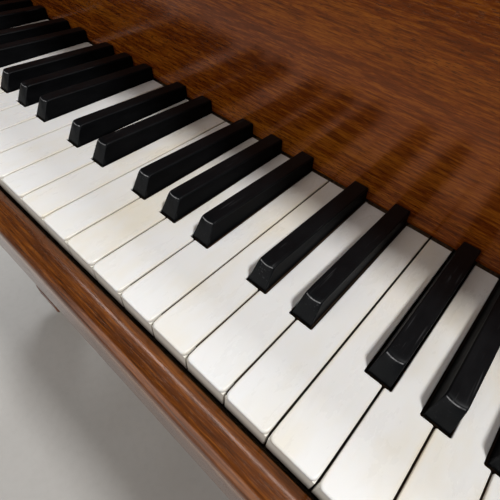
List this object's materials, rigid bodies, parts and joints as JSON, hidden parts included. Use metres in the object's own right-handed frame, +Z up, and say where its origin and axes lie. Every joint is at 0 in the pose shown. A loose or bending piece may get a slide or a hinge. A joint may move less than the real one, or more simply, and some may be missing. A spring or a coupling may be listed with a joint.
{
  "type": "baby grand piano",
  "caption": "Baby grand piano with single pressable keys, hinged lid and front flap, closing fallboard, folding music desk, three pedals and swivel casters.",
  "frame": {"origin": "on the floor under the middle of the overall box", "axes": "+X to the treble side, +Y from the player to the tail, +Z up"},
  "size_m": [1.4705, 1.52, 1.0105],
  "materials": {
    "case_wood": "satin lacquer over red-brown veneer",
    "slip_wood": "satin lacquer, worn at the edge",
    "inner_wood": "plain beech, unfinished",
    "spruce": "clear varnish",
    "maple": "waxed",
    "plate_bronze": "bronze paint over cast iron",
    "steel": "bright",
    "copper": "copper winding",
    "brass": "polished, a little dull",
    "key_white": "polished plastic top on a wooden stick",
    "key_black": "polished black top on a wooden stick",
    "action_wood": "maple with felt",
    "damper_felt": "black blocks on felt"
  },
  "bodies": {
    "case": {"rim": "case_wood", "inner_rim": "inner_wood", "keybed": "inner_wood", "case_rails": "inner_wood", "soundboard": "spruce", "bridges": "maple", "pin_block": "maple", "iron_plate": "plate_bronze", "tuning_and_hitch_pins": "steel", "plain_strings": "steel", "wound_strings": "copper", "key_slip": "slip_wood", "key_blocks": "case_wood", "legs": "case_wood", "lyre": "case_wood", "lyre_braces": "brass", "desk_rails": "case_wood", "lid_prop": "case_wood", "lid_hinges": "brass"},
    "lid": {"lid": "case_wood"},
    "lid_flap": {"lid_flap": "case_wood"},
    "music_shelf": {"music_shelf": "case_wood"},
    "music_desk": {"music_desk": "case_wood"},
    "fallboard": {"fallboard": "case_wood"},
    "soft_pedal": {"soft_pedal": "brass"},
    "sostenuto_pedal": {"sostenuto_pedal": "brass"},
    "damper_pedal": {"damper_pedal": "brass"},
    "soft_rod": {"soft_rod": "steel"},
    "sostenuto_rod": {"sostenuto_rod": "steel"},
    "damper_rod": {"damper_rod": "steel"},
    "dampers": {"dampers": "damper_felt"},
    "keyboard_frame": {"key_frame": "inner_wood", "action": "action_wood", "hammers": "action_wood"},
    "bass_caster_fork": {"bass_caster_fork": "brass"},
    "bass_caster_wheel": {"bass_caster_wheel": "brass"},
    "treble_caster_fork": {"treble_caster_fork": "brass"},
    "treble_caster_wheel": {"treble_caster_wheel": "brass"},
    "tail_caster_fork": {"tail_caster_fork": "brass"},
    "tail_caster_wheel": {"tail_caster_wheel": "brass"},
    "key_f3": {"key_f3": "key_white"},
    "key_f_sharp3": {"key_f_sharp3": "key_black"},
    "key_g3": {"key_g3": "key_white"},
    "key_g_sharp3": {"key_g_sharp3": "key_black"},
    "key_a3": {"key_a3": "key_white"},
    "key_a_sharp3": {"key_a_sharp3": "key_black"},
    "key_b3": {"key_b3": "key_white"},
    "key_c4": {"key_c4": "key_white"},
    "key_c_sharp4": {"key_c_sharp4": "key_black"},
    "key_d4": {"key_d4": "key_white"},
    "key_d_sharp4": {"key_d_sharp4": "key_black"},
    "key_e4": {"key_e4": "key_white"},
    "key_f4": {"key_f4": "key_white"},
    "key_f_sharp4": {"key_f_sharp4": "key_black"},
    "key_g4": {"key_g4": "key_white"},
    "key_g_sharp4": {"key_g_sharp4": "key_black"},
    "bass_naturals": {"bass_naturals": "key_white"},
    "bass_sharps": {"bass_sharps": "key_black"},
    "treble_naturals": {"treble_naturals": "key_white"},
    "treble_sharps": {"treble_sharps": "key_black"}
  },
  "joints": [
    {"name": "lid_open", "type": "hinge", "parent": "case", "child": "lid", "pos_m": [-0.7305, 0, 0.9575], "axis": [0, -1, 0], "range_deg": [0, 32]},
    {"name": "flap_fold", "type": "hinge", "parent": "lid", "child": "lid_flap", "pos_m": [0, -0.335, 0.988], "axis": [-1, 0, 0], "range_deg": [-180, 0]},
    {"name": "shelf_slide", "type": "slide", "parent": "case", "child": "music_shelf", "axis": [0, -1, 0], "range_m": [-0.06, 0]},
    {"name": "desk_raise", "type": "hinge", "parent": "music_shelf", "child": "music_desk", "pos_m": [0, -0.5135, 0.9405], "axis": [1, 0, 0], "range_deg": [0, 70]},
    {"name": "fallboard_close", "type": "hinge", "parent": "case", "child": "fallboard", "pos_m": [0, -0.5648, 0.7615], "axis": [1, 0, 0], "range_deg": [0, 90]},
    {"name": "soft_pedal_press", "type": "hinge", "parent": "case", "child": "soft_pedal", "pos_m": [-0.062, -0.56, 0.0965], "axis": [1, 0, 0], "range_deg": [0, 6], "stiffness_Nm_per_rad": 20, "springref_deg": -5.73},
    {"name": "sostenuto_pedal_press", "type": "hinge", "parent": "case", "child": "sostenuto_pedal", "pos_m": [0, -0.56, 0.0965], "axis": [1, 0, 0], "range_deg": [0, 6], "stiffness_Nm_per_rad": 20, "springref_deg": -5.73},
    {"name": "damper_pedal_press", "type": "hinge", "parent": "case", "child": "damper_pedal", "pos_m": [0.062, -0.56, 0.0965], "axis": [1, 0, 0], "range_deg": [0, 6], "stiffness_Nm_per_rad": 20, "springref_deg": -5.73},
    {"name": "soft_rod_lift", "type": "slide", "parent": "case", "child": "soft_rod", "axis": [0, 0, 1], "range_m": [0, 0.0034]},
    {"name": "sostenuto_rod_lift", "type": "slide", "parent": "case", "child": "sostenuto_rod", "axis": [0, 0, 1], "range_m": [0, 0.0034]},
    {"name": "damper_rod_lift", "type": "slide", "parent": "case", "child": "damper_rod", "axis": [0, 0, 1], "range_m": [0, 0.0034]},
    {"name": "damper_lift", "type": "slide", "parent": "case", "child": "dampers", "axis": [0, 0, 1], "range_m": [0, 0.0052]},
    {"name": "keyboard_shift", "type": "slide", "parent": "case", "child": "keyboard_frame", "axis": [1, 0, 0], "range_m": [0, 0.0024]},
    {"name": "bass_caster_swivel", "type": "hinge", "parent": "case", "child": "bass_caster_fork", "pos_m": [-0.64, -0.64, 0.07], "axis": [0, 0, 1], "continuous": true},
    {"name": "bass_wheel_spin", "type": "hinge", "parent": "bass_caster_fork", "child": "bass_caster_wheel", "pos_m": [-0.64, -0.626, 0.024], "axis": [1, 0, 0], "continuous": true},
    {"name": "treble_caster_swivel", "type": "hinge", "parent": "case", "child": "treble_caster_fork", "pos_m": [0.64, -0.64, 0.07], "axis": [0, 0, 1], "continuous": true},
    {"name": "treble_wheel_spin", "type": "hinge", "parent": "treble_caster_fork", "child": "treble_caster_wheel", "pos_m": [0.64, -0.626, 0.024], "axis": [1, 0, 0], "continuous": true},
    {"name": "tail_caster_swivel", "type": "hinge", "parent": "case", "child": "tail_caster_fork", "pos_m": [-0.395, 0.61, 0.07], "axis": [0, 0, 1], "continuous": true},
    {"name": "tail_wheel_spin", "type": "hinge", "parent": "tail_caster_fork", "child": "tail_caster_wheel", "pos_m": [-0.395, 0.624, 0.024], "axis": [1, 0, 0], "continuous": true},
    {"name": "key_f3_press", "type": "hinge", "parent": "keyboard_frame", "child": "key_f3", "pos_m": [0, -0.493, 0.705], "axis": [1, 0, 0], "range_deg": [0, 2.5], "stiffness_Nm_per_rad": 0.9, "springref_deg": -7.45},
    {"name": "key_f_sharp3_press", "type": "hinge", "parent": "keyboard_frame", "child": "key_f_sharp3", "pos_m": [0, -0.493, 0.705], "axis": [1, 0, 0], "range_deg": [0, 2.5], "stiffness_Nm_per_rad": 0.9, "springref_deg": -7.45},
    {"name": "key_g3_press", "type": "hinge", "parent": "keyboard_frame", "child": "key_g3", "pos_m": [0, -0.493, 0.705], "axis": [1, 0, 0], "range_deg": [0, 2.5], "stiffness_Nm_per_rad": 0.9, "springref_deg": -7.45},
    {"name": "key_g_sharp3_press", "type": "hinge", "parent": "keyboard_frame", "child": "key_g_sharp3", "pos_m": [0, -0.493, 0.705], "axis": [1, 0, 0], "range_deg": [0, 2.5], "stiffness_Nm_per_rad": 0.9, "springref_deg": -7.45},
    {"name": "key_a3_press", "type": "hinge", "parent": "keyboard_frame", "child": "key_a3", "pos_m": [0, -0.493, 0.705], "axis": [1, 0, 0], "range_deg": [0, 2.5], "stiffness_Nm_per_rad": 0.9, "springref_deg": -7.45},
    {"name": "key_a_sharp3_press", "type": "hinge", "parent": "keyboard_frame", "child": "key_a_sharp3", "pos_m": [0, -0.493, 0.705], "axis": [1, 0, 0], "range_deg": [0, 2.5], "stiffness_Nm_per_rad": 0.9, "springref_deg": -7.45},
    {"name": "key_b3_press", "type": "hinge", "parent": "keyboard_frame", "child": "key_b3", "pos_m": [0, -0.493, 0.705], "axis": [1, 0, 0], "range_deg": [0, 2.5], "stiffness_Nm_per_rad": 0.9, "springref_deg": -7.45},
    {"name": "key_c4_press", "type": "hinge", "parent": "keyboard_frame", "child": "key_c4", "pos_m": [0, -0.493, 0.705], "axis": [1, 0, 0], "range_deg": [0, 2.5], "stiffness_Nm_per_rad": 0.9, "springref_deg": -7.45},
    {"name": "key_c_sharp4_press", "type": "hinge", "parent": "keyboard_frame", "child": "key_c_sharp4", "pos_m": [0, -0.493, 0.705], "axis": [1, 0, 0], "range_deg": [0, 2.5], "stiffness_Nm_per_rad": 0.9, "springref_deg": -7.45},
    {"name": "key_d4_press", "type": "hinge", "parent": "keyboard_frame", "child": "key_d4", "pos_m": [0, -0.493, 0.705], "axis": [1, 0, 0], "range_deg": [0, 2.5], "stiffness_Nm_per_rad": 0.9, "springref_deg": -7.45},
    {"name": "key_d_sharp4_press", "type": "hinge", "parent": "keyboard_frame", "child": "key_d_sharp4", "pos_m": [0, -0.493, 0.705], "axis": [1, 0, 0], "range_deg": [0, 2.5], "stiffness_Nm_per_rad": 0.9, "springref_deg": -7.45},
    {"name": "key_e4_press", "type": "hinge", "parent": "keyboard_frame", "child": "key_e4", "pos_m": [0, -0.493, 0.705], "axis": [1, 0, 0], "range_deg": [0, 2.5], "stiffness_Nm_per_rad": 0.9, "springref_deg": -7.45},
    {"name": "key_f4_press", "type": "hinge", "parent": "keyboard_frame", "child": "key_f4", "pos_m": [0, -0.493, 0.705], "axis": [1, 0, 0], "range_deg": [0, 2.5], "stiffness_Nm_per_rad": 0.9, "springref_deg": -7.45},
    {"name": "key_f_sharp4_press", "type": "hinge", "parent": "keyboard_frame", "child": "key_f_sharp4", "pos_m": [0, -0.493, 0.705], "axis": [1, 0, 0], "range_deg": [0, 2.5], "stiffness_Nm_per_rad": 0.9, "springref_deg": -7.45},
    {"name": "key_g4_press", "type": "hinge", "parent": "keyboard_frame", "child": "key_g4", "pos_m": [0, -0.493, 0.705], "axis": [1, 0, 0], "range_deg": [0, 2.5], "stiffness_Nm_per_rad": 0.9, "springref_deg": -7.45},
    {"name": "key_g_sharp4_press", "type": "hinge", "parent": "keyboard_frame", "child": "key_g_sharp4", "pos_m": [0, -0.493, 0.705], "axis": [1, 0, 0], "range_deg": [0, 2.5], "stiffness_Nm_per_rad": 0.9, "springref_deg": -7.45},
    {"name": "bass_naturals_press", "type": "hinge", "parent": "keyboard_frame", "child": "bass_naturals", "pos_m": [0, -0.493, 0.705], "axis": [1, 0, 0], "range_deg": [0, 2.5], "stiffness_Nm_per_rad": 17.1, "springref_deg": -7.45},
    {"name": "bass_sharps_press", "type": "hinge", "parent": "keyboard_frame", "child": "bass_sharps", "pos_m": [0, -0.493, 0.705], "axis": [1, 0, 0], "range_deg": [0, 2.5], "stiffness_Nm_per_rad": 11.7, "springref_deg": -7.45},
    {"name": "treble_naturals_press", "type": "hinge", "parent": "keyboard_frame", "child": "treble_naturals", "pos_m": [0, -0.493, 0.705], "axis": [1, 0, 0], "range_deg": [0, 2.5], "stiffness_Nm_per_rad": 21.6, "springref_deg": -7.45},
    {"name": "treble_sharps_press", "type": "hinge", "parent": "keyboard_frame", "child": "treble_sharps", "pos_m": [0, -0.493, 0.705], "axis": [1, 0, 0], "range_deg": [0, 2.5], "stiffness_Nm_per_rad": 14.4, "springref_deg": -7.45}
  ],
  "couplings": [
    {"joint": "soft_rod_lift", "follows": "keyboard_shift", "ratio": 1.302},
    {"joint": "sostenuto_rod_lift", "follows": "sostenuto_pedal_press", "m_per_rad": 0.031},
    {"joint": "damper_rod_lift", "follows": "damper_pedal_press", "m_per_rad": 0.031},
    {"joint": "damper_lift", "follows": "damper_pedal_press", "m_per_rad": 0.0477},
    {"joint": "soft_pedal_press", "follows": "keyboard_shift", "rad_per_m": 42}
  ]
}
